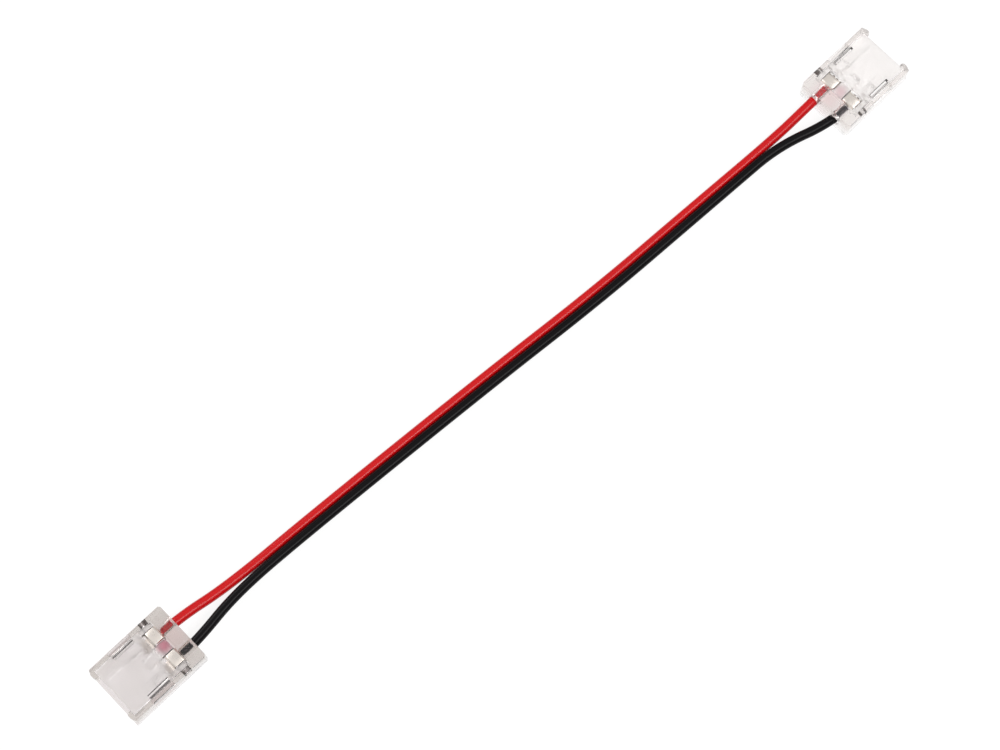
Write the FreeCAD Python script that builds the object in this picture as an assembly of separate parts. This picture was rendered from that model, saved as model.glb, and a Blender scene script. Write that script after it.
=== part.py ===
import FreeCAD, Part
import math
import os

from FreeCAD import Rotation, Vector

# Solderless led strip connector with two identical clear snap heads on a red and black wire pair.
# Each head grips the bare end of an 8 mm strip: the strip slides in over the floor, the lid
# swings down and clicks in, and two folded metal contacts join its pads to the wires.
# Millimetres. Each head is drawn from its strip mouth at x = 0 to its wire end, y centred, z up,
# and is then turned and carried to its end of the pair.
# In the finished part x runs from head a to head b, the red wire is on the +y side and z = 0
# is the table. The origin lies midway between the heads, on the table.

# Strip that the heads are made for
strip_width = 8.0
strip_thickness = 0.3
strip_side_gap = 0.1

# Walls of the base
floor_thickness = 1.0
wall_thickness = 0.85
guide_width = 1.05
guide_height = 1.0
ear_length = 0.8
ear_outer_cut_x = 0.4
ear_outer_cut_y = 0.9
ear_lead_in = 0.35
head_height = 5.0
block_length = 2.9
block_front_cut = 0.3
block_corner_cut = 0.4
rim_cut = 0.12

# Lid
lid_gap = 0.05
lid_side_gap = 0.1
lid_length = 9.8
lid_thickness = 1.1
lid_edge_cut = 0.15
panel_recess = 0.3
panel_margin = 0.7
panel_half_width = 2.45
panel_corner_cut = 0.9
press_rib_width = 1.2
press_rib_inset = 0.2
press_rib_length = 2.4
press_gap = 0.3
middle_rib_half = 0.9
middle_rib_length = 2.4

# Latch tongues along both sides of the lid
latch_start = 4.6
latch_length = 4.55
latch_slot = 0.5
latch_thickness = 0.25
latch_hook = 0.12
latch_hook_slope = 0.54
latch_hook_height = 0.9
latch_depth = 1.6
latch_guide_gap = 0.3
window_gap = 0.2
window_top_gap = 0.3

# Hinge of the lid
hub_radius = 1.05
hub_cover = 0.2
hub_face_gap = 0.15
pin_radius = 0.75
pin_clearance = 0.05
pin_end_gap = 0.15
swing_gap = 0.15
ledge_gap = 0.3
lug_depth = 0.45
lug_overlap = 0.6

# Folded sheet contact
sheet = 0.3
contact_width = 2.6
contact_length = 2.4
contact_side_gap = 0.1
contact_end_gap = 0.05
contact_top_gap = 0.1
bend_radius = 0.5
foot_length = 1.4
foot_bend_radius = 0.35
tooth_height = 1.1
tooth_count = 3
tooth_base_height = 0.15
fork_floor_gap = 0.1
fork_slot_gap = 0.02
fork_slot_rise = 0.6
fork_mouth_cut = 0.25

# Wires
wire_diameter = 1.85
core_diameter = 0.9
core_gap = 0.02
wire_pitch = 5.3
wire_seat_gap = 0.04
tunnel_clearance = 0.16
wire_end_inset = 0.75
core_end_length = 0.3
saddle_length = 1.05
wire_bed = 0.25
cut_gap = 0.02

# Heads on the wire pair
free_length = 150.0
head_yaw = 3.5
exit_run = 0.5
arc_share = 0.45

# Pair between the heads, rolled so that the black wire leans on the red one:
# x and y of its middle line, and how far each wire stands further out
pair_gap = 0.02
table_gap = 0.02
pair_roll = 22.0
pair_route = [
    (-64.0, 1.07, 0.19),
    (-44.0, 1.39, 0.0),
    (-6.0, 0.92, 0.0),
    (20.0, 0.15, 0.0),
    (43.5, 0.53, 0.0),
    (65.0, 0.75, 0.0),
]

# Places that follow from the sizes
channel_half = strip_width / 2 + strip_side_gap
cavity_half = channel_half + guide_width
head_half = cavity_half + wall_thickness
guide_top = floor_thickness + guide_height
lid_half = cavity_half - lid_side_gap
lid_front = ear_length + lid_gap
lid_rear = lid_front + lid_length
lid_bottom = head_height - lid_thickness
hinge_z = head_height - hub_cover - hub_radius
contact_top = head_height - contact_top_gap
swing_radius = swing_gap + bend_radius + math.hypot(
    contact_length / 2 - bend_radius, contact_top - bend_radius - hinge_z)
hinge_x = lid_rear + swing_radius
contact_front = hinge_x - contact_length / 2
contact_rear = hinge_x + contact_length / 2
block_front = contact_rear + contact_end_gap
head_length = block_front + block_length
wire_y = wire_pitch / 2
wire_z = floor_thickness + wire_bed + wire_diameter / 2
wire_start = contact_front + wire_end_inset
pocket_inner = wire_y - contact_width / 2 - contact_side_gap
pocket_outer = wire_y + contact_width / 2 + contact_side_gap
ledge_top = hinge_z - hub_radius - ledge_gap
latch_end = latch_start + latch_length
latch_inner = lid_half - latch_hook - latch_thickness
latch_bottom = max(lid_bottom - latch_depth, guide_top + latch_guide_gap)
tooth_x = contact_front - foot_length
foot_z = floor_thickness - sheet
half_span = (free_length + head_length) / 2
pair_half = (wire_diameter + pair_gap) / 2
pair_across = pair_half * math.cos(math.radians(pair_roll))
pair_rise = pair_half * math.sin(math.radians(pair_roll))
pair_z = wire_diameter / 2 + table_gap + pair_rise


def box(x0, x1, y0, y1, z0, z1):
    """Block between two opposite corners."""
    return Part.makeBox(x1 - x0, y1 - y0, z1 - z0, Vector(x0, y0, z0))


def rod_y(x, z, radius, y0, y1):
    """Cylinder along y."""
    return Part.makeCylinder(radius, y1 - y0, Vector(x, y0, z), Vector(0, 1, 0))


def rod_x(y, z, radius, x0, x1):
    """Cylinder along x."""
    return Part.makeCylinder(radius, x1 - x0, Vector(x0, y, z), Vector(1, 0, 0))


def prism(points, along):
    """Solid of a closed outline, pushed along a vector."""
    outline = Part.makePolygon([Vector(*p) for p in points + points[:1]])
    return Part.Face(outline).extrude(Vector(*along))


def across(shape):
    """The same shape on the other side of the head."""
    return shape.mirror(Vector(0, 0, 0), Vector(0, 1, 0))


def on_both_sides(shape):
    """The shape with its copy across the head."""
    return [shape, across(shape)]


def clean(shape):
    """One solid with its split faces joined."""
    return shape.removeSplitter().Solids[0]


def ear():
    """Upright cheek at the strip mouth, cut back outside and opened inside for the strip."""
    outline = [
        (ear_length, channel_half, floor_thickness),
        (ear_lead_in, channel_half, floor_thickness),
        (0, channel_half + ear_lead_in, floor_thickness),
        (0, head_half - ear_outer_cut_y, floor_thickness),
        (ear_outer_cut_x, head_half, floor_thickness),
        (ear_length, head_half, floor_thickness),
    ]
    return prism(outline, (0, 0, head_height - floor_thickness))


def latch_window():
    """Opening in a side wall that the latch tongue of the lid faces."""
    return box(latch_start - window_gap, latch_end + window_gap, cavity_half, head_half,
               guide_top, lid_bottom - window_top_gap)


def contact_bay():
    """Ledge, post half and saddle that hold one contact and one wire end."""
    saddle_end = contact_rear - sheet - contact_side_gap
    ledge = box(contact_front - contact_side_gap, block_front, pocket_outer, cavity_half,
                floor_thickness, ledge_top)
    post = box(contact_front - contact_side_gap, block_front, 0, pocket_inner,
               floor_thickness, ledge_top)
    saddle = box(saddle_end - saddle_length, saddle_end, pocket_inner, pocket_outer,
                 floor_thickness, wire_z)
    return [ledge, post, saddle]


def foot_pocket():
    """Recess in the floor that the foot of a contact lies in."""
    return box(tooth_x - contact_end_gap, contact_front + sheet + contact_end_gap,
               wire_y - contact_width / 2 - contact_end_gap,
               wire_y + contact_width / 2 + contact_end_gap,
               foot_z, floor_thickness)


def wire_way():
    """Bore of one wire through the block, with its groove in the saddle."""
    groove = rod_x(wire_y, wire_z, wire_diameter / 2 + wire_seat_gap, contact_front, block_front)
    tunnel = rod_x(wire_y, wire_z, wire_diameter / 2 + tunnel_clearance,
                   block_front - contact_end_gap, head_length)
    return [groove, tunnel]


def block_cuts():
    """Slope on the block's front edge, and its cut rear corners."""
    front = prism([
        (block_front, -cavity_half, head_height),
        (block_front, -cavity_half, head_height - block_front_cut),
        (block_front + block_front_cut, -cavity_half, head_height),
    ], (0, 2 * cavity_half, 0))
    corner = prism([
        (head_length, head_half, 0),
        (head_length - block_corner_cut, head_half, 0),
        (head_length, head_half - block_corner_cut, 0),
    ], (0, 0, head_height))
    return [front] + on_both_sides(corner)


def rim_cuts():
    """Small slope along the outer top edges of the side walls."""
    wall_rim = prism([
        (0, head_half, head_height),
        (0, head_half, head_height - rim_cut),
        (0, head_half - rim_cut, head_height),
    ], (head_length, 0, 0))
    return on_both_sides(wall_rim)


def base():
    """Clear tray with side walls, wire block, hinge holes and latch windows."""
    tray = box(0, head_length, -head_half, head_half, 0, head_height)
    mouth = box(0, ear_length, -head_half, head_half, floor_thickness, head_height)
    cavity = box(ear_length, block_front, -cavity_half, cavity_half, floor_thickness, head_height)
    guide = box(ear_length, contact_front - contact_side_gap, channel_half, cavity_half,
                floor_thickness, guide_top)
    added = on_both_sides(ear()) + on_both_sides(guide)
    for piece in contact_bay():
        added += on_both_sides(piece)
    pin_hole = rod_y(hinge_x, hinge_z, pin_radius + pin_clearance, -head_half, head_half)
    removed = on_both_sides(latch_window()) + on_both_sides(foot_pocket()) + [pin_hole]
    for piece in wire_way():
        removed += on_both_sides(piece)
    removed += block_cuts() + rim_cuts()
    body = tray.cut([mouth, cavity]).fuse(added)
    return clean(body.cut(removed))


def lid_plate():
    """Flat plate with sloped top edges at the front and the sides."""
    front_slope = prism([
        (lid_front, -lid_half, head_height),
        (lid_front, -lid_half, head_height - lid_edge_cut),
        (lid_front + lid_edge_cut, -lid_half, head_height),
    ], (0, 2 * lid_half, 0))
    plate = box(lid_front, lid_rear, -lid_half, lid_half, lid_bottom, head_height)
    return plate.cut(front_slope)


def lid_panel():
    """Shallow recess under the plate with cut rear corners."""
    x0 = lid_front + panel_margin
    x1 = lid_rear - panel_margin
    outline = [
        (x0, -panel_half_width, lid_bottom),
        (x1 - panel_corner_cut, -panel_half_width, lid_bottom),
        (x1, panel_corner_cut - panel_half_width, lid_bottom),
        (x1, panel_half_width - panel_corner_cut, lid_bottom),
        (x1 - panel_corner_cut, panel_half_width, lid_bottom),
        (x0, panel_half_width, lid_bottom),
    ]
    return prism(outline, (0, 0, panel_recess))


def press_ribs():
    """Ribs under the lid that hold the strip down on the floor and the teeth."""
    bottom = floor_thickness + strip_thickness + press_gap
    outer = channel_half - press_rib_inset
    rib_end = tooth_x - press_gap
    side_rib = box(rib_end - press_rib_length, rib_end, outer - press_rib_width, outer,
                   bottom, lid_bottom)
    middle_end = contact_front - contact_side_gap - lug_overlap
    middle = box(middle_end - middle_rib_length, middle_end, -middle_rib_half, middle_rib_half,
                 bottom, lid_bottom + panel_recess)
    return on_both_sides(side_rib) + [middle]


def latch_tongue():
    """Springy strip beside its slot, with a wedge hook that faces the window."""
    outer = lid_half - latch_hook
    tongue = box(latch_start, latch_end, latch_inner, outer, latch_bottom, head_height)
    hook = prism([
        (latch_start + window_gap, outer, latch_bottom),
        (latch_start + window_gap, lid_half, latch_bottom + latch_hook_slope),
        (latch_start + window_gap, lid_half, latch_bottom + latch_hook_height),
        (latch_start + window_gap, outer, latch_bottom + latch_hook_height),
    ], (latch_length - 2 * window_gap, 0, 0))
    return tongue.fuse(hook)


def latch_slot_cut():
    """Slot that frees a latch tongue from the plate, and the gap outside it."""
    inside = box(latch_start, latch_end, latch_inner - latch_slot, latch_inner,
                 lid_bottom, head_height)
    outside = box(latch_start, latch_end, lid_half - latch_hook, lid_half,
                  lid_bottom, head_height)
    return [inside, outside]


def hinge_lugs():
    """Three arms with round ends about the hinge line, and a pin on each outer arm."""
    top = hinge_z + hub_radius
    side_inner = pocket_outer + contact_side_gap / 2
    middle_half = pocket_inner - hub_face_gap
    lugs = []
    for y0, y1 in ((side_inner, lid_half), (-lid_half, -side_inner), (-middle_half, middle_half)):
        arm = box(lid_rear - lug_overlap, hinge_x, y0, y1, hinge_z - lug_depth, top)
        lugs += [arm, rod_y(hinge_x, hinge_z, hub_radius, y0, y1)]
    pin = rod_y(hinge_x, hinge_z, pin_radius, lid_half, head_half - pin_end_gap)
    return lugs + on_both_sides(pin)


def lid():
    """Hinged lid: plate, panel recess, press ribs, latch tongues, lugs and pins."""
    cuts = [lid_panel()]
    for piece in latch_slot_cut():
        cuts += on_both_sides(piece)
    added = press_ribs() + on_both_sides(latch_tongue()) + hinge_lugs()
    return clean(lid_plate().cut(cuts).fuse(added))


def bridge():
    """Arch of the contact: front leg, top plate and rear leg, bent from one sheet."""
    y0 = wire_y - contact_width / 2
    outer = box(contact_front, contact_rear, y0, y0 + contact_width, foot_z, contact_top)
    inner = box(contact_front + sheet, contact_rear - sheet, y0, y0 + contact_width,
                foot_z, contact_top - sheet)
    outer = round_top(outer, bend_radius, contact_top)
    inner = round_top(inner, bend_radius - sheet, contact_top - sheet)
    return outer.cut(inner)


def round_top(block, radius, top):
    """Block with its two upper edges that lie along y rounded."""
    edges = []
    for edge in block.Edges:
        start, end = [v.Point for v in edge.Vertexes]
        at_top = math.isclose(start.z, top) and math.isclose(end.z, top)
        if at_top and math.isclose(start.x, end.x):
            edges.append(edge)
    return block.makeFillet(radius, edges)


def teeth():
    """Row of points at the end of the foot that bite into the strip's pad."""
    y0 = wire_y - contact_width / 2
    step = contact_width / tooth_count
    foot_top = foot_z + sheet
    outline = [(tooth_x, y0, foot_z), (tooth_x, y0, foot_top + tooth_base_height)]
    for i in range(tooth_count):
        outline.append((tooth_x, y0 + (i + 0.5) * step, foot_top + tooth_height))
        outline.append((tooth_x, y0 + (i + 1) * step, foot_top + tooth_base_height))
    outline.append((tooth_x, y0 + contact_width, foot_z))
    return prism(outline, (sheet, 0, 0))


def fork_slot(gap, spare=0.0):
    """Space between the tines that grip the core, open and flared below; spare adds to both faces."""
    half = core_diameter / 2 + gap
    top = wire_z + fork_slot_rise
    x0 = contact_rear - sheet - spare
    x1 = contact_rear + spare
    slot = box(x0, x1, wire_y - half, wire_y + half, floor_thickness, top)
    crown = rod_x(wire_y, top, half, x0, x1)
    mouth_z = floor_thickness + fork_floor_gap
    mouth = prism([
        (x0, wire_y - half - fork_mouth_cut, mouth_z),
        (x0, wire_y + half + fork_mouth_cut, mouth_z),
        (x0, wire_y + half, mouth_z + fork_mouth_cut),
        (x0, wire_y - half, mouth_z + fork_mouth_cut),
    ], (x1 - x0, 0, 0))
    return slot.fuse([crown, mouth])


def contact():
    """One folded contact: foot with teeth, arch, and the fork that cuts into the wire."""
    y0 = wire_y - contact_width / 2
    foot = box(tooth_x, contact_front + sheet, y0, y0 + contact_width, foot_z, foot_z + sheet)
    below_fork = box(contact_rear - sheet, contact_rear, y0, y0 + contact_width,
                     foot_z, floor_thickness + fork_floor_gap)
    body = bridge().fuse([foot, teeth()])
    return clean(body.cut([below_fork, fork_slot(fork_slot_gap)]))


def fork_bite():
    """Room that the tines of the fork take out of the wire's insulation."""
    y0 = wire_y - contact_width / 2
    plate = box(contact_rear - sheet - cut_gap, contact_rear + cut_gap, y0, y0 + contact_width,
                floor_thickness, contact_top)
    return plate.cut(fork_slot(0, cut_gap))


def to_head(shape, end):
    """The shape carried from the drawing of a head to head a (end -1) or head b (end 1)."""
    placed = shape.copy()
    placed.translate(Vector(-head_length / 2, 0, 0))
    turn = head_yaw if end < 0 else head_yaw + 180
    placed.rotate(Vector(0, 0, 0), Vector(0, 0, 1), turn)
    placed.translate(Vector(end * half_span, 0, 0))
    return placed


def head_point(x, side, end):
    """Point on a wire's bore: x in the head's drawing, side +1 for red and -1 for black."""
    turn = Rotation(Vector(0, 0, 1), head_yaw if end < 0 else head_yaw + 180)
    local = Vector(x - head_length / 2, -end * side * wire_y, wire_z)
    return turn.multVec(local) + Vector(end * half_span, 0, 0)


def wire_points(side, start):
    """Corners of one wire's route from inside head a to inside head b."""
    exit_x = head_length + exit_run
    middle = [Vector(x, y + side * (pair_across + opening), pair_z - side * pair_rise)
              for x, y, opening in pair_route]
    return ([head_point(start, side, -1), head_point(exit_x, side, -1)] + middle
            + [head_point(exit_x, side, 1), head_point(start, side, 1)])


def arc_at(before, corner, after):
    """Tangent arc at a corner of the route, with its radius and its length."""
    run_in = corner - before
    run_out = after - corner
    shorter = min(run_in.Length, run_out.Length)
    turn = run_in.getAngle(run_out)
    reach = arc_share * shorter
    radius = reach / math.tan(turn / 2)
    run_in.normalize()
    run_out.normalize()
    first = corner - run_in * reach
    last = corner + run_out * reach
    inward = run_out - run_in
    inward.normalize()
    centre = corner + inward * (radius / math.cos(turn / 2))
    middle = centre - inward * radius
    return first, middle, last, radius, radius * turn


def wire_path(points, name):
    """Straight runs joined by tangent arcs, as one path with its length."""
    edges = []
    radii = []
    length = 0.0
    start = points[0]
    for before, corner, after in zip(points, points[1:], points[2:]):
        first, middle, last, radius, arc_length = arc_at(before, corner, after)
        edges += [Part.LineSegment(start, first).toShape(), Part.Arc(first, middle, last).toShape()]
        length += (first - start).Length + arc_length
        radii.append(round(radius, 1))
        start = last
    edges.append(Part.LineSegment(start, points[-1]).toShape())
    length += (points[-1] - start).Length
    print(name, "bend radii", radii, "length", round(length, 2))
    return Part.Wire(edges), length


def swept(points, profile, area, name):
    """Solid of a profile carried along a route, its volume held against section times length."""
    path, length = wire_path(points, name)
    solid = path.makePipeShell([profile], True, False)
    print(name, "volume", round(solid.Volume, 3), "expected", round(area * length, 3))
    return solid


def round_tube(points, radius, name):
    """Round solid along a route."""
    profile = Part.Wire(Part.makeCircle(radius, points[0], points[1] - points[0]))
    return swept(points, profile, math.pi * radius ** 2, name)


def strand_bundle(points, flats, name):
    """Six-sided solid along a route, the outline of one strand with six round it."""
    upright = Vector(0, 0, flats / math.sqrt(3))
    along = points[1] - points[0]
    corners = [points[0] + Rotation(along, 60 * i).multVec(upright) for i in range(6)]
    profile = Part.makePolygon(corners + corners[:1])
    return swept(points, profile, math.sqrt(3) / 2 * flats ** 2, name)


def wire(side, colour):
    """Insulation and core of one wire, cut open where the forks bite."""
    insulated = wire_points(side, wire_start)
    bare = wire_points(side, wire_start - core_end_length)
    core = strand_bundle(bare, core_diameter, colour + " core")
    sleeve = round_tube(insulated, wire_diameter / 2, colour + " insulation")
    bore = strand_bundle(insulated, core_diameter + 2 * core_gap, colour + " bore")
    bites = []
    for end in (-1, 1):
        bite = fork_bite() if -end * side > 0 else across(fork_bite())
        bites.append(to_head(bite, end))
    return sleeve.cut([bore] + bites), core


def save(shape, name):
    """Write one piece, with a note of its solids and its volume."""
    shape.exportStep("parts/" + name + ".step")
    print(name, len(shape.Solids), "solid", round(shape.Volume, 3), "mm3 valid", shape.isValid())


def main():
    os.makedirs("parts", exist_ok=True)
    base_shape = base()
    lid_shape = lid()
    contact_shape = contact()
    for letter, end in (("a", -1), ("b", 1)):
        save(to_head(base_shape, end), "base_" + letter)
        save(to_head(lid_shape, end), "lid_" + letter)
        for colour, side in (("red", 1), ("black", -1)):
            drawn = contact_shape if -end * side > 0 else across(contact_shape)
            save(to_head(drawn, end), "contact_" + letter + "_" + colour)
    for colour, side in (("red", 1), ("black", -1)):
        sleeve, core = wire(side, colour)
        save(sleeve, "wire_" + colour + "_insulation")
        save(core, "wire_" + colour + "_core")


main()
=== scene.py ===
import math

import bpy
from mathutils import Matrix, Quaternion, Vector


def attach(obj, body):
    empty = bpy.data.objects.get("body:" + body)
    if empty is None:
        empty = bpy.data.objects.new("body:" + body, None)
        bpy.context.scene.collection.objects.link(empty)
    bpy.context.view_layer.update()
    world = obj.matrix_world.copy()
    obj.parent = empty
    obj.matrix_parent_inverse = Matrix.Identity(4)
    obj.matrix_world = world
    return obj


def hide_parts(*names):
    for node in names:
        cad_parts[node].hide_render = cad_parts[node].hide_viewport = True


# Led strip connector: two clear snap heads on a red and a black wire, lying on a white table.
# Metres, in the frame of the solids: x runs from head a to head b, z = 0 is the table.

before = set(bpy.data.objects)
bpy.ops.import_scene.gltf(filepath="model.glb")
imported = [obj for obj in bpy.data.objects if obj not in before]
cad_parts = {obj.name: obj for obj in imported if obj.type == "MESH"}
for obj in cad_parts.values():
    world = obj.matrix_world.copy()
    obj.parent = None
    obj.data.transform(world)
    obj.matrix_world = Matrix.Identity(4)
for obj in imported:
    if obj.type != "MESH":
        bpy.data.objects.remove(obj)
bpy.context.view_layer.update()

mm = 0.001

# Camera, at the photograph's angle
camera_lens = 79.97
camera_sensor = 36.0
camera_near = 0.01
camera_far = 20.0
camera_target = Vector((-3.117, 0.442, 0.0)) * mm
camera_distance = 398.49 * mm
camera_azimuth = -43.249
camera_elevation = 74.354
camera_roll = 2.558

# Wires
wire_colours = ("red", "black")
wire_diameter = 1.85 * mm
wire_length = 159.6 * mm
wire_steps = 12
sleeve_steps = 8
core_radius = 0.45 * mm
core_overhang = 0.3 * mm
strand_count = 6
strand_points = 6
strand_lay = 14.0 * mm

# Route of each wire in millimetres. The red one has the corners of its solid. The black one's
# corners are moved a little, and it has one more near head b.
red_route = [
    (-79.769, 2.865, 2.175), (-74.678, 3.176, 2.175),
    (-64.0, 2.127, 0.945), (-44.0, 2.257, 0.945), (-6.0, 1.787, 0.945),
    (20.0, 1.017, 0.945), (43.5, 1.397, 0.945), (65.0, 1.617, 0.945),
    (74.354, 2.114, 2.175), (79.445, 2.425, 2.175),
]
black_route = [
    (-79.445, -2.425, 2.175), (-74.354, -2.114, 2.175),
    (-64.0, 0.15, 1.646), (-48.5, 0.44, 1.646), (-6.0, -0.067, 1.646),
    (20.0, -0.837, 1.646), (43.5, -0.457, 1.646), (53.0, -0.307, 1.646), (64.0, -0.133, 1.646),
    (74.678, -3.176, 2.175), (79.769, -2.865, 2.175),
]
red_exit = Vector((-75.177, 3.146, 2.175)) * mm
black_exit = Vector((-74.854, -2.144, 2.175)) * mm

# Corners and edges of the pieces, their angles in degrees
joined_corner = 0.001 * mm
flat_angle = 1.0
plastic_edge = 0.07 * mm
metal_edge = 0.03 * mm
edge_steps = 2
edge_angle = 35
smooth_angle = 30

# Heads, drawn from the strip mouth at x = 0 and then turned and carried to an end of the wires
heads = ("a", "b")
head_length = 16.405 * mm
head_top = 5.0 * mm
head_x = {"a": -83.203 * mm, "b": 83.203 * mm}
head_turn = {"a": 3.5, "b": 183.5}

# Hinge. On one side of each head the half of the pin by the wire block has painted shade all round.
hinge_x = 12.255 * mm
hinge_z = 3.75 * mm
pin_reach = 0.85 * mm
pin_start = 5.1 * mm
pin_slope = 0.75
pin_shade_side = {"a": 1, "b": -1}
lug_inside = 4.15 * mm
lug_reach = 1.1 * mm

# Latch slots, with the height on each side of each head down to where their shade reaches
slot_inside = 4.0 * mm
slot_middle = 4.4 * mm
slot_outside = 4.75 * mm
slot_start = 4.5 * mm
slot_end = 9.25 * mm
slot_shade_end = {
    ("a", -1): 2.6 * mm, ("a", 1): 4.1 * mm,
    ("b", -1): 3.9 * mm, ("b", 1): 4.1 * mm,
}

# Bores for the wires
bore_y = 2.65 * mm
bore_z = 2.175 * mm
bore_radius = 1.085 * mm
bore_margin = 0.1 * mm
bore_start = 13.4 * mm
bore_mouth = 15.95 * mm

# Share of a face's normal along an axis
faces_along = 0.9
lies_round = 0.5
stands_upright = 0.3

# Ejector marks on the wire block
mark_x = 14.6 * mm
mark_y = 4.45 * mm
mark_radius = 0.42 * mm
mark_depth = 0.05 * mm
mark_facets = 24

# Sleeves of the wires
skin_colour = {"red": (0.56, 0.0035, 0.005, 1), "black": (0.0035, 0.003, 0.0035, 1)}
worn_colour = {"red": (0.50, 0.002, 0.004, 1), "black": (0.006, 0.005, 0.006, 1)}
skin_gloss = {"red": 0.32, "black": 0.1}
skin_roughness = 0.2
skin_swing = 0.15
skin_relief = 0.005 * mm

# Tinned metal of the strands and of the sheet, with painted shade on the sheet that goes by share
# of the head's height
strand_finish = {
    "Color": (0.75, 0.70, 0.64, 1), "Stain": (0.55, 0.45, 0.36, 1),
    "Roughness": 0.35, "Shade Amount": 0.0,
}
sheet_finish = {
    "Color": (0.95, 0.88, 0.82, 1), "Stain": (0.9, 0.82, 0.75, 1),
    "Roughness": 0.3, "Shade Amount": 1.0,
}
sheet_painted_shade = ((0.24, 0.0), (0.32, 1.0), (0.82, 1.0), (0.92, 0.0), (0.97, 0.0))
metal_swing = 0.3
metal_relief = 0.002 * mm

# Clear plastic. Head a's tints and base density are darker than head b's: painted shade, as both
# heads are the same part.
plastic_bending = 1.58
plastic_swing = 0.08
plastic_relief = 0.004 * mm
base_tint_and_shade = {"a": (0.77, 0.725, 0.725, 1), "b": (0.985, 0.98, 0.975, 1)}
base_density = {"a": 160.0, "b": 100.0}
base_roughness = 0.1
lid_tint_and_shade = {"a": (0.89, 0.875, 0.87, 1), "b": (0.945, 0.925, 0.915, 1)}
lid_density = 5.0
lid_roughness = 0.38
depth_tint = {"a": (0.61, 0.57, 0.505, 1), "b": (0.60, 0.50, 0.45, 1)}
shine_through = (0.97, 0.96, 0.96, 1)

# Faces of the gaps, of the bores and of the bores' mouths, with their places in a piece's list
gap_slot, bore_slot, mouth_slot = 1, 2, 3
gap_shade = (0.06, 0.048, 0.044, 1)
gap_roughness = 0.3
bore_haze = (0.97, 0.95, 0.95, 1)
# Head a's bore gloss is lower than head b's: painted shade that darkens its bores.
bore_gloss_and_shade = {"a": (0.02, 0.0, 0.02, 1), "b": (0.4, 0.34, 0.4, 1)}
bore_roughness = 0.28
bore_clearness = 1.0
mouth_haze = (0.95, 0.88, 0.88, 1)
mouth_gloss = (1, 1, 1, 1)
mouth_roughness = 0.5
mouth_clearness = 0.5

# Painted reflection of the red wire on the plastic: colour, place and reach in millimetres, and
# strength
block_red_reflection = (0.85, 0.55, 0.58, 1)
block_red_reflection_place = {"a": (-77.0, 0.8), "b": (76.6, 0.8)}
block_red_reflection_reach = 4.5
block_red_reflection_amount = {"a": 0.35, "b": 0.45}
hub_red_reflection = (0.70, 0.30, 0.38, 1)
hub_red_reflection_place = {"a": (-79.15, 0.6), "b": (79.15, -0.25)}
hub_red_reflection_reach = 1.9
hub_red_reflection_amount = {"a": 1.0, "b": 0.4}
red_reflection_full = 0.15

# Noise: waves per metre along x, y and z, detail and roughness
skin_lines = ((60.0, 4200.0, 4200.0), 3.0, 0.6)
skin_clouds = ((90.0, 300.0, 300.0), 2.0, 0.5)
skin_grain = ((9000.0, 9000.0, 9000.0), 2.0, 0.5)
skin_grain_share = 0.35
plastic_clouds = ((260.0, 260.0, 260.0), 2.0, 0.5)
plastic_flow = ((320.0, 900.0, 900.0), 1.0, 0.4)
plastic_grain = ((7000.0, 7000.0, 7000.0), 2.0, 0.5)
plastic_grain_share = 0.08
metal_lines = ((1500.0, 14000.0, 1500.0), 3.0, 0.6)
metal_patches = ((900.0, 900.0, 900.0), 3.0, 0.55)

# Table: its size, its greys for light that falls on it and for the eye, and its glow
table_size = 6.0
table_lit = (0.8, 0.8, 0.8, 1)
table_seen = (0.15, 0.15, 0.15, 1)
table_glow = 0.88

# Surroundings that the pieces reflect, grey by height, and white where they are looked at
sky_greys = ((0.1, 0.12), (0.7, 0.66))
sky_seen = (1, 1, 1, 1)

# Lamps: name, place, size, width (none for a round one) and power
lamps = (
    ("side_lamp", (-0.45, 0.85, 0.55), 1.0, None, 6.2),
    ("narrow_lamp", (0.15, -0.42, 0.68), 1.2, 0.3, 4.8),
)


def camera_at_the_photograph():
    """Camera on its stand, looking down on the heads."""
    turn = math.radians(camera_azimuth)
    rise = math.radians(camera_elevation)
    level = math.cos(rise)
    back = Vector((math.sin(turn) * level, -math.cos(turn) * level, math.sin(rise)))
    data = bpy.data.cameras.new("camera")
    data.lens = camera_lens
    data.sensor_width = camera_sensor
    data.clip_start = camera_near
    data.clip_end = camera_far
    camera = bpy.data.objects.new("camera", data)
    bpy.context.scene.collection.objects.link(camera)
    camera.rotation_mode = "QUATERNION"
    camera.location = camera_target + back * camera_distance
    roll = Quaternion((0, 0, 1), math.radians(camera_roll))
    camera.rotation_quaternion = (-back).to_track_quat("-Z", "Y") @ roll
    bpy.context.scene.camera = camera


def only(piece):
    """Make this piece the one selected and active object."""
    bpy.ops.object.select_all(action="DESELECT")
    piece.select_set(True)
    bpy.context.view_layer.objects.active = piece


# Wires

def wire_curve(name, points):
    """Smooth open line through the route's corners."""
    data = bpy.data.curves.new(name, "CURVE")
    data.dimensions = "3D"
    spline = data.splines.new("NURBS")
    spline.points.add(len(points) - 1)
    for corner, place in zip(spline.points, points):
        corner.co = (*place, 1.0)
    spline.order_u = 3
    spline.use_endpoint_u = True
    spline.resolution_u = wire_steps
    data.use_fill_caps = True
    data.twist_mode = "MINIMUM"
    curve = bpy.data.objects.new(name, data)
    bpy.context.scene.collection.objects.link(curve)
    return curve


def insulation(colour, points):
    """Round sleeve of one wire."""
    sleeve = wire_curve(colour + "_wire_insulation", points)
    sleeve.data.bevel_depth = wire_diameter / 2
    sleeve.data.bevel_resolution = sleeve_steps
    return sleeve


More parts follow.
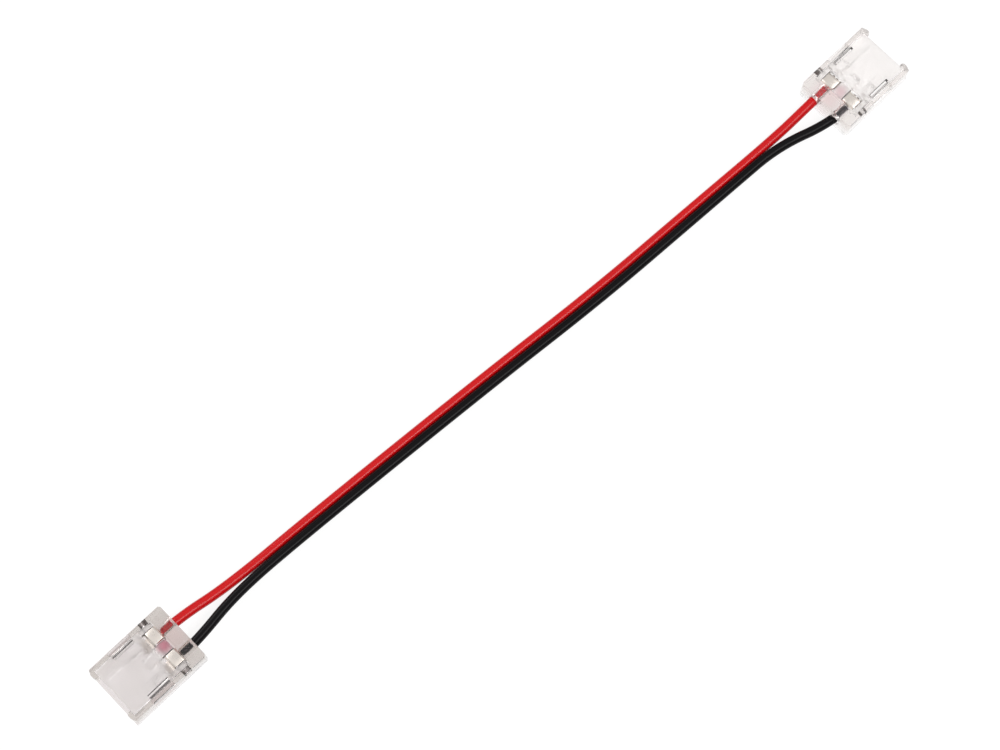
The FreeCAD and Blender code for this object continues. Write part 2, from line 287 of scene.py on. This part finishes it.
def strand_outline():
    """Outline of a bundle three strands across, one bump for each strand round the middle one."""
    data = bpy.data.curves.new("strand_outline", "CURVE")
    data.dimensions = "2D"
    spline = data.splines.new("POLY")
    steps = strand_count * strand_points
    spline.points.add(steps - 1)
    strand = core_radius / 3
    half_bump = math.pi / strand_count
    for i, corner in enumerate(spline.points):
        angle = math.tau * i / steps
        off = (angle + half_bump) % (math.tau / strand_count) - half_bump
        bump = math.sqrt(strand ** 2 - (2 * strand * math.sin(off)) ** 2)
        reach = 2 * strand * math.cos(off) + bump
        corner.co = (reach * math.cos(angle), reach * math.sin(angle), 0.0, 1.0)
    spline.use_cyclic_u = True
    return bpy.data.objects.new("strand_outline", data)


def stranded_core(colour, points, outline):
    """Twisted strands of one wire, a little longer than its sleeve."""
    first = points[0] + (points[0] - points[1]).normalized() * core_overhang
    last = points[-1] + (points[-1] - points[-2]).normalized() * core_overhang
    corners = [first] + points[1:-1] + [last]
    core = wire_curve(colour + "_wire_strands", corners)
    core.data.bevel_mode = "OBJECT"
    core.data.bevel_object = outline
    travelled = 0.0
    for i, corner in enumerate(core.data.splines[0].points):
        if i:
            travelled += (corners[i] - corners[i - 1]).length
        corner.tilt = math.tau * travelled / strand_lay
    return core


def wires(strand_metal):
    """Both wires, each a sleeve with its strands inside."""
    outline = strand_outline()
    skin_group = extruded_skin_group()
    routes = (red_route, black_route)
    exits = (red_exit, black_exit)
    for colour, route, way_out in zip(wire_colours, routes, exits):
        points = [Vector(place) * mm for place in route]
        sleeve = insulation(colour, points)
        core = stranded_core(colour, points, outline)
        sleeve.data.materials.append(wire_plastic(colour, skin_group))
        core.data.materials.append(strand_metal)
        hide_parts("wire_" + colour + "_insulation")
        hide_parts("wire_" + colour + "_core")
        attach(sleeve, "harness")
        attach(core, "harness")


# Nodes

def new_material(name):
    """Material with its node tree, its shader and its output."""
    material = bpy.data.materials.new(name)
    material.use_nodes = True
    tree = material.node_tree
    return material, tree, tree.nodes["Principled BSDF"], tree.nodes["Material Output"]


def new_group(name, numbers, colours):
    """Node group with named inputs that puts out a colour, a roughness and a height."""
    tree = bpy.data.node_groups.new(name, "ShaderNodeTree")
    given = [(label, value, "NodeSocketColor") for label, value in colours.items()]
    given += [(label, value, "NodeSocketFloat") for label, value in numbers.items()]
    for label, value, kind in given:
        socket = tree.interface.new_socket(label, in_out="INPUT", socket_type=kind)
        socket.default_value = value
    for label, kind in (("Color", "Color"), ("Roughness", "Float"), ("Height", "Float")):
        tree.interface.new_socket(label, in_out="OUTPUT", socket_type="NodeSocket" + kind)
    return tree, tree.nodes.new("NodeGroupInput"), tree.nodes.new("NodeGroupOutput")


def place_group(tree, group, values):
    """Put a node group in a material with its own values."""
    node = tree.nodes.new("ShaderNodeGroup")
    node.node_tree = group
    for label, value in values.items():
        node.inputs[label].default_value = value
    return node


def give(tree, socket, value):
    """Give a socket a number, a colour or the output of another node."""
    if isinstance(value, bpy.types.NodeSocket):
        tree.links.new(value, socket)
    else:
        socket.default_value = value


def math_node(tree, operation, first, second=0.0):
    """Sum, product or the like of one or two numbers or sockets."""
    node = tree.nodes.new("ShaderNodeMath")
    node.operation = operation
    give(tree, node.inputs[0], first)
    give(tree, node.inputs[1], second)
    return node.outputs[0]


def mix_colour(tree, factor, first, second):
    """Blend of two colours by a factor. The node keeps its colours in sockets 6 and 7."""
    node = tree.nodes.new("ShaderNodeMix")
    node.data_type = "RGBA"
    give(tree, node.inputs[0], factor)
    give(tree, node.inputs[6], first)
    give(tree, node.inputs[7], second)
    return node.outputs[2]


def grey_ramp(tree, factor, stops):
    """Grey that follows a factor, from stops of position and level."""
    node = tree.nodes.new("ShaderNodeValToRGB")
    elements = node.color_ramp.elements
    ends = ((elements[0], stops[0]), (elements[1], stops[-1]))
    for element, (position, level) in ends:
        element.position = position
        element.color = (level, level, level, 1)
    for position, level in stops[1:-1]:
        elements.new(position).color = (level, level, level, 1)
    tree.links.new(factor, node.inputs[0])
    return node.outputs[0]


def place_on_object(tree):
    """X, Y and Z of the place on the object, in metres."""
    place = tree.nodes.new("ShaderNodeTexCoord")
    split = tree.nodes.new("ShaderNodeSeparateXYZ")
    tree.links.new(place.outputs["Object"], split.inputs[0])
    return split.outputs


def place_on_sleeve(tree):
    """Place on a sleeve in metres: x along the wire, y and z round its skin."""
    place = tree.nodes.new("ShaderNodeTexCoord")
    split = tree.nodes.new("ShaderNodeSeparateXYZ")
    join = tree.nodes.new("ShaderNodeCombineXYZ")
    tree.links.new(place.outputs["UV"], split.inputs[0])
    along = math_node(tree, "MULTIPLY", split.outputs["X"], wire_length)
    tree.links.new(along, join.inputs["X"])
    turn = math_node(tree, "MULTIPLY", split.outputs["Y"], math.tau)
    for operation, axis in (("COSINE", "Y"), ("SINE", "Z")):
        share = math_node(tree, operation, turn)
        tree.links.new(math_node(tree, "MULTIPLY", share, wire_diameter / 2), join.inputs[axis])
    return join.outputs[0]


def noise(tree, waves, place=None):
    """Noise on the object's coordinates or on a given place."""
    stretch, detail, roughness = waves
    if place is None:
        place = tree.nodes.new("ShaderNodeTexCoord").outputs["Object"]
    mapping = tree.nodes.new("ShaderNodeMapping")
    mapping.inputs["Scale"].default_value = stretch
    texture = tree.nodes.new("ShaderNodeTexNoise")
    texture.inputs["Scale"].default_value = 1.0
    texture.inputs["Detail"].default_value = detail
    texture.inputs["Roughness"].default_value = roughness
    tree.links.new(place, mapping.inputs["Vector"])
    tree.links.new(mapping.outputs[0], texture.inputs["Vector"])
    return texture.outputs["Fac"]


def uneven(tree, middle, mask, swing):
    """Number that swings round its middle with a mask."""
    off = math_node(tree, "MULTIPLY", math_node(tree, "SUBTRACT", mask, 0.5), swing)
    return math_node(tree, "ADD", off, middle)


def with_grain(tree, relief, grain, share):
    """Relief with a share of fine grain on it."""
    return math_node(tree, "ADD", relief, math_node(tree, "MULTIPLY", grain, share))


def connect_surface(tree, group, shader, bump_distance):
    """Lead a group's colour, roughness and height to a shader."""
    tree.links.new(group.outputs["Color"], shader.inputs["Base Color"])
    tree.links.new(group.outputs["Roughness"], shader.inputs["Roughness"])
    bump = tree.nodes.new("ShaderNodeBump")
    bump.inputs["Strength"].default_value = 1.0
    bump.inputs["Distance"].default_value = bump_distance
    tree.links.new(group.outputs["Height"], bump.inputs["Height"])
    tree.links.new(bump.outputs[0], shader.inputs["Normal"])


# Shared effects

def extruded_skin_group():
    """Soft sleeve: fine lines along the wire, cloudy colour and handling marks."""
    tree, given, made = new_group(
        "extruded_skin", {"Roughness": 0.4},
        {"Color": (0.5, 0.5, 0.5, 1), "Worn Color": (0.5, 0.5, 0.5, 1)})
    place = place_on_sleeve(tree)
    lines = noise(tree, skin_lines, place)
    clouds = noise(tree, skin_clouds, place)
    grain = noise(tree, skin_grain, place)
    colour = mix_colour(tree, clouds, given.outputs["Color"], given.outputs["Worn Color"])
    roughness = uneven(tree, given.outputs["Roughness"], clouds, skin_swing)
    tree.links.new(colour, made.inputs["Color"])
    tree.links.new(roughness, made.inputs["Roughness"])
    tree.links.new(with_grain(tree, lines, grain, skin_grain_share), made.inputs["Height"])
    return tree


def clear_moulding_group():
    """Clear moulding: faint flow marks, a tint, and a painted reflection of the red wire round its
    end.
    """
    tree, given, made = new_group(
        "clear_moulding",
        {"Roughness": 0.1,
         "Red Reflection X": 0.0, "Red Reflection Y": 0.0, "Red Reflection Reach": 0.004, "Red Reflection Amount": 0.5},
        {"Tint": (0.8, 0.8, 0.8, 1), "Red Reflection": (0.8, 0.5, 0.5, 1)})
    place = place_on_object(tree)
    off_x = math_node(tree, "SUBTRACT", place["X"], given.outputs["Red Reflection X"])
    off_y = math_node(tree, "SUBTRACT", place["Y"], given.outputs["Red Reflection Y"])
    squares = math_node(tree, "ADD", math_node(tree, "POWER", off_x, 2.0),
                        math_node(tree, "POWER", off_y, 2.0))
    far = math_node(tree, "SQRT", squares)
    share = math_node(tree, "DIVIDE", far, given.outputs["Red Reflection Reach"])
    fade = tree.nodes.new("ShaderNodeMapRange")
    fade.interpolation_type = "SMOOTHSTEP"
    fade.inputs["From Min"].default_value = 1.0
    fade.inputs["From Max"].default_value = red_reflection_full
    tree.links.new(share, fade.inputs["Value"])
    amount = math_node(tree, "MULTIPLY", fade.outputs[0], given.outputs["Red Reflection Amount"])
    # Painted reflection of the red wire, mixed into the tint round its place
    colour = mix_colour(tree, amount, given.outputs["Tint"], given.outputs["Red Reflection"])
    clouds = noise(tree, plastic_clouds)
    roughness = uneven(tree, given.outputs["Roughness"], clouds, plastic_swing)
    flow = noise(tree, plastic_flow)
    grain = noise(tree, plastic_grain)
    tree.links.new(colour, made.inputs["Color"])
    tree.links.new(roughness, made.inputs["Roughness"])
    tree.links.new(with_grain(tree, flow, grain, plastic_grain_share), made.inputs["Height"])
    return tree


def tinned_group():
    """Tinned metal: rolling lines, dull patches, a little stain, and painted shade low in a head.
    """
    tree, given, made = new_group(
        "tinned_metal", {"Roughness": 0.3, "Shade Amount": 0.0},
        {"Color": (0.9, 0.85, 0.8, 1), "Stain": (0.7, 0.6, 0.5, 1), "Shade": (0.3, 0.26, 0.23, 1)})
    # Painted shade on the sheet, darkest part way up the head
    height = math_node(tree, "DIVIDE", place_on_object(tree)["Z"], head_top)
    shade = grey_ramp(tree, height, sheet_painted_shade)
    amount = math_node(tree, "MULTIPLY", shade, given.outputs["Shade Amount"])
    patches = noise(tree, metal_patches)
    bare = mix_colour(tree, patches, given.outputs["Color"], given.outputs["Stain"])
    colour = mix_colour(tree, amount, bare, given.outputs["Shade"])
    roughness = uneven(tree, given.outputs["Roughness"], patches, metal_swing)
    tree.links.new(colour, made.inputs["Color"])
    tree.links.new(roughness, made.inputs["Roughness"])
    tree.links.new(noise(tree, metal_lines), made.inputs["Height"])
    return tree


# Materials

def wire_plastic(colour, group):
    """Soft extruded sleeve of one wire."""
    material, tree, shader, _ = new_material(colour + "_insulation")
    skin = place_group(tree, group, {
        "Color": skin_colour[colour], "Worn Color": worn_colour[colour],
        "Roughness": skin_roughness})
    shader.inputs["Specular IOR Level"].default_value = skin_gloss[colour]
    connect_surface(tree, skin, shader, skin_relief)
    return material


def tinned(name, group, values):
    """Tinned metal for the sheet or for the strands."""
    material, tree, shader, _ = new_material(name)
    shader.inputs["Metallic"].default_value = 1.0
    connect_surface(tree, place_group(tree, group, values), shader, metal_relief)
    return material


def moulded(name, group, values):
    """Material of the moulding, with its node tree, its shader and its output."""
    material, tree, shader, out = new_material(name)
    shader.inputs["IOR"].default_value = plastic_bending
    connect_surface(tree, place_group(tree, group, values), shader, plastic_relief)
    return material, tree, shader, out


def even_tint(tint, roughness):
    """Values of the moulding's group for one tint without a painted reflection."""
    return {"Tint": tint, "Red Reflection": tint, "Roughness": roughness}


def red_reflection(tint, place, reach, amount):
    """Values of the moulding's group for a painted reflection, a coloured glow round a place in the
    scene.
    """
    return {"Red Reflection": tint, "Red Reflection X": place[0] * mm, "Red Reflection Y": place[1] * mm,
            "Red Reflection Reach": reach * mm, "Red Reflection Amount": amount}


def gap_plastic(group):
    """The moulding where it faces a narrow gap, dark for want of light."""
    return moulded("shaded_gap", group, even_tint(gap_shade, gap_roughness))[0]


def hazy_plastic(name, group, values, gloss, clearness):
    """The moulding with the rough finish that the mould's pin leaves in a bore."""
    material, _, shader, _ = moulded(name, group, values)
    shader.inputs["Specular Tint"].default_value = gloss
    shader.inputs["Transmission Weight"].default_value = clearness
    return material


def clear_plastic(name, group, values, depth, density):
    """The clear moulding, milkier where it is thick, that lamps shine through."""
    material, tree, shader, out = moulded(name, group, values)
    shader.inputs["Transmission Weight"].default_value = 1.0
    let_through = tree.nodes.new("ShaderNodeBsdfTransparent")
    let_through.inputs["Color"].default_value = shine_through
    path = tree.nodes.new("ShaderNodeLightPath")
    mix = tree.nodes.new("ShaderNodeMixShader")
    tree.links.new(path.outputs["Is Shadow Ray"], mix.inputs[0])
    tree.links.new(shader.outputs[0], mix.inputs[1])
    tree.links.new(let_through.outputs[0], mix.inputs[2])
    tree.links.new(mix.outputs[0], out.inputs["Surface"])
    inside = tree.nodes.new("ShaderNodeVolumeAbsorption")
    inside.inputs["Color"].default_value = depth
    inside.inputs["Density"].default_value = density
    tree.links.new(inside.outputs[0], out.inputs["Volume"])
    return material


# Heads

def copy_of(node, name):
    """Copy of a solid with joined corners and flat faces, which stands for it."""
    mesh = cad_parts[node].data.copy()
    piece = bpy.data.objects.new(name, mesh)
    bpy.context.scene.collection.objects.link(piece)
    only(piece)
    bpy.ops.object.mode_set(mode="EDIT")
    bpy.ops.mesh.select_all(action="SELECT")
    bpy.ops.mesh.remove_doubles(threshold=joined_corner)
    bpy.ops.mesh.dissolve_limited(angle_limit=math.radians(flat_angle))
    bpy.ops.object.mode_set(mode="OBJECT")
    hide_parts(node)
    return piece


def soften_edges(piece, edge):
    """Round the sharp edges a little and smooth the curved faces."""
    only(piece)
    bevel = piece.modifiers.new("edges", "BEVEL")
    bevel.width = edge
    bevel.segments = edge_steps
    bevel.limit_method = "ANGLE"
    bevel.angle_limit = math.radians(edge_angle)
    bpy.ops.object.modifier_apply(modifier=bevel.name)
    bpy.ops.object.shade_smooth_by_angle(angle=math.radians(smooth_angle))


def finish_piece(piece, material, body):
    """Give a piece its material and the body that it rides on."""
    piece.data.materials.clear()
    piece.data.materials.append(material)
    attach(piece, body)


def head_place(letter):
    """Where the drawing of a head lies in the scene."""
    return (Matrix.Translation((head_x[letter], 0, 0))
            @ Matrix.Rotation(math.radians(head_turn[letter]), 4, "Z")
            @ Matrix.Translation((-head_length / 2, 0, 0)))


def in_latch_slot(place, normal, letter):
    """Whether a face is a side of a latch slot, down to where its shade reaches."""
    end = slot_shade_end[letter, -1 if place.y < 0 else 1]
    return (slot_inside < abs(place.y) < slot_outside and slot_start < place.x < slot_end
            and place.z > end and abs(normal.z) < stands_upright)


def on_tongue(place, normal, side):
    """Whether a face is the inner side of the latch tongue on one side of the head."""
    return (slot_middle < place.y * side < slot_outside and slot_start < place.x < slot_end
            and abs(normal.y) > faces_along)


def in_bore(place, normal):
    """Whether a face is the round side of a wire's bore in the block."""
    off_axis = math.hypot(abs(place.y) - bore_y, place.z - bore_z)
    return (place.x > bore_start and abs(off_axis - bore_radius) < bore_margin
            and abs(normal.x) < lies_round)


def round_the_pin(place, normal, letter):
    """Whether a face is a shaded side of a hinge pin or its hole, or the inner end of its lug."""
    off_axis = math.hypot(place.x - hinge_x, place.z - hinge_z)
    if abs(place.y) < lug_inside:
        return off_axis < lug_reach and abs(normal.y) > faces_along
    by_the_block = place.x > hinge_x and place.y * pin_shade_side[letter] > 0
    return (abs(place.y) > pin_start and off_axis < pin_reach and abs(normal.y) < lies_round
            and (by_the_block or abs(normal.z) < pin_slope))


def score(piece, letter, chosen, at, across):
    """Divide the chosen faces with a flat cut given in the head's drawing."""
    place = head_place(letter)
    to_drawing = place.inverted()
    only(piece)
    bpy.ops.object.mode_set(mode="EDIT")
    bpy.ops.mesh.select_all(action="DESELECT")
    bpy.ops.object.mode_set(mode="OBJECT")
    for face in piece.data.polygons:
        face.select = chosen(to_drawing @ face.center, to_drawing.to_3x3() @ face.normal)
    bpy.ops.object.mode_set(mode="EDIT")
    bpy.ops.mesh.bisect(plane_co=place @ Vector(at), plane_no=place.to_3x3() @ Vector(across))
    bpy.ops.object.mode_set(mode="OBJECT")


def shade_gaps(piece, letter, finishes):
    """Give the faces of the gaps and of the wires' bores their own finishes."""
    for finish in finishes:
        piece.data.materials.append(finish)
    to_drawing = head_place(letter).inverted()
    for face in piece.data.polygons:
        place = to_drawing @ face.center
        normal = to_drawing.to_3x3() @ face.normal
        if in_latch_slot(place, normal, letter) or round_the_pin(place, normal, letter):
            face.material_index = gap_slot
        elif in_bore(place, normal):
            face.material_index = mouth_slot if place.x > bore_mouth else bore_slot


def ejector_mark(piece, letter, y):
    """Shallow round mark that the mould's pin leaves on the wire block."""
    place = head_place(letter) @ Vector((mark_x, y, head_top))
    bpy.ops.object.select_all(action="DESELECT")
    bpy.ops.mesh.primitive_cylinder_add(vertices=mark_facets, radius=mark_radius,
                                        depth=2 * mark_depth, location=place)
    cutter = bpy.context.active_object
    only(piece)
    cut = piece.modifiers.new("mark", "BOOLEAN")
    cut.operation = "DIFFERENCE"
    cut.object = cutter
    bpy.ops.object.modifier_apply(modifier=cut.name)
    bpy.data.objects.remove(cutter)


def head_base(letter, moulding, finishes):
    """Base of one head, with its ejector marks and the finishes of its gaps and bores."""
    plastic = clear_plastic("clear_base_" + letter, moulding, {
        "Tint": base_tint_and_shade[letter], "Roughness": base_roughness,
        **red_reflection(block_red_reflection, block_red_reflection_place[letter], block_red_reflection_reach,
                block_red_reflection_amount[letter]),
    }, depth_tint[letter], base_density[letter])
    base = copy_of("base_" + letter, "head_" + letter + "_base")
    score(base, letter, in_bore, (bore_mouth, 0, 0), (1, 0, 0))
    soften_edges(base, plastic_edge)
    for y in (mark_y, -mark_y):
        ejector_mark(base, letter, y)
    finish_piece(base, plastic, "harness")
    shade_gaps(base, letter, finishes)


def head_lid(letter, moulding, finishes):
    """Lid of one head, with the finish of its gaps."""
    plastic = clear_plastic("clear_lid_" + letter, moulding, {
        "Tint": lid_tint_and_shade[letter], "Roughness": lid_roughness,
        **red_reflection(hub_red_reflection, hub_red_reflection_place[letter], hub_red_reflection_reach,
                hub_red_reflection_amount[letter]),
    }, depth_tint[letter], lid_density)
    lid = copy_of("lid_" + letter, "head_" + letter + "_lid")
    for side in (-1, 1):
        score(lid, letter, lambda place, normal: on_tongue(place, normal, side),
              (0, 0, slot_shade_end[letter, side]), (0, 0, 1))
    soften_edges(lid, plastic_edge)
    finish_piece(lid, plastic, "lid_" + letter)
    shade_gaps(lid, letter, finishes)


def head_contacts(letter, sheet_metal):
    """The two contacts of one head."""
    for colour in wire_colours:
        contact = copy_of("contact_" + letter + "_" + colour,
                          "head_" + letter + "_" + colour + "_contact")
        soften_edges(contact, metal_edge)
        finish_piece(contact, sheet_metal, "harness")


# Table and light

def seen_by(tree, *kinds):
    """1 where a ray of one of these kinds looks at the surface."""
    path = tree.nodes.new("ShaderNodeLightPath")
    either = path.outputs["Is " + kinds[0] + " Ray"]
    for kind in kinds[1:]:
        either = math_node(tree, "MAXIMUM", either, path.outputs["Is " + kind + " Ray"])
    return either


def white_table():
    """Wide white table that reads white but keeps a soft shadow."""
    bpy.ops.object.select_all(action="DESELECT")
    bpy.ops.mesh.primitive_plane_add(size=table_size, location=(0, 0, 0))
    table = bpy.context.active_object
    table.name = "table"
    material, tree, shader, out = new_material("white_table")
    tree.nodes.remove(shader)
    lit = tree.nodes.new("ShaderNodeBsdfDiffuse")
    lit.inputs[0].default_value = table_lit
    seen = tree.nodes.new("ShaderNodeBsdfDiffuse")
    seen.inputs[0].default_value = table_seen
    glow = tree.nodes.new("ShaderNodeEmission")
    glow.inputs[1].default_value = table_glow
    both = tree.nodes.new("ShaderNodeAddShader")
    tree.links.new(seen.outputs[0], both.inputs[0])
    tree.links.new(glow.outputs[0], both.inputs[1])
    mix = tree.nodes.new("ShaderNodeMixShader")
    tree.links.new(seen_by(tree, "Camera", "Glossy", "Transmission"), mix.inputs[0])
    tree.links.new(lit.outputs[0], mix.inputs[1])
    tree.links.new(both.outputs[0], mix.inputs[2])
    tree.links.new(mix.outputs[0], out.inputs[0])
    table.data.materials.append(material)


def soft_lamp(name, place, size, width, power):
    """Soft flat lamp that faces the object."""
    data = bpy.data.lights.new(name, "AREA")
    data.shape = "RECTANGLE" if width else "DISK"
    data.size = size
    data.size_y = width or size
    data.energy = power
    lamp = bpy.data.objects.new(name, data)
    lamp.location = place
    lamp.rotation_mode = "QUATERNION"
    lamp.rotation_quaternion = (-Vector(place)).to_track_quat("-Z", "Y")
    bpy.context.scene.collection.objects.link(lamp)


def studio_light():
    """Surroundings that grow lighter upwards and look white, a round lamp and a narrow one."""
    world = bpy.data.worlds.new("studio")
    bpy.context.scene.world = world
    world.use_nodes = True
    tree = world.node_tree
    place = tree.nodes.new("ShaderNodeTexCoord")
    split = tree.nodes.new("ShaderNodeSeparateXYZ")
    tree.links.new(place.outputs["Generated"], split.inputs[0])
    greys = grey_ramp(tree, split.outputs["Z"], sky_greys)
    colour = mix_colour(tree, seen_by(tree, "Camera", "Transmission"), greys, sky_seen)
    tree.links.new(colour, tree.nodes["Background"].inputs[0])
    for lamp in lamps:
        soft_lamp(*lamp)


camera_at_the_photograph()
tin = tinned_group()
wires(tinned("tinned_strands", tin, strand_finish))
white_table()
studio_light()
sheet_metal = tinned("tinned_sheet", tin, sheet_finish)
moulding = clear_moulding_group()
gap = gap_plastic(moulding)
mouth = hazy_plastic("hazy_mouth", moulding, even_tint(mouth_haze, mouth_roughness),
                     mouth_gloss, mouth_clearness)
for letter in heads:
    bore = hazy_plastic("hazy_bore_" + letter, moulding, even_tint(bore_haze, bore_roughness),
                        bore_gloss_and_shade[letter], bore_clearness)
    head_base(letter, moulding, (gap, bore, mouth))
    head_lid(letter, moulding, (gap,))
    head_contacts(letter, sheet_metal)

bpy.context.scene.view_settings.view_transform = "Standard"
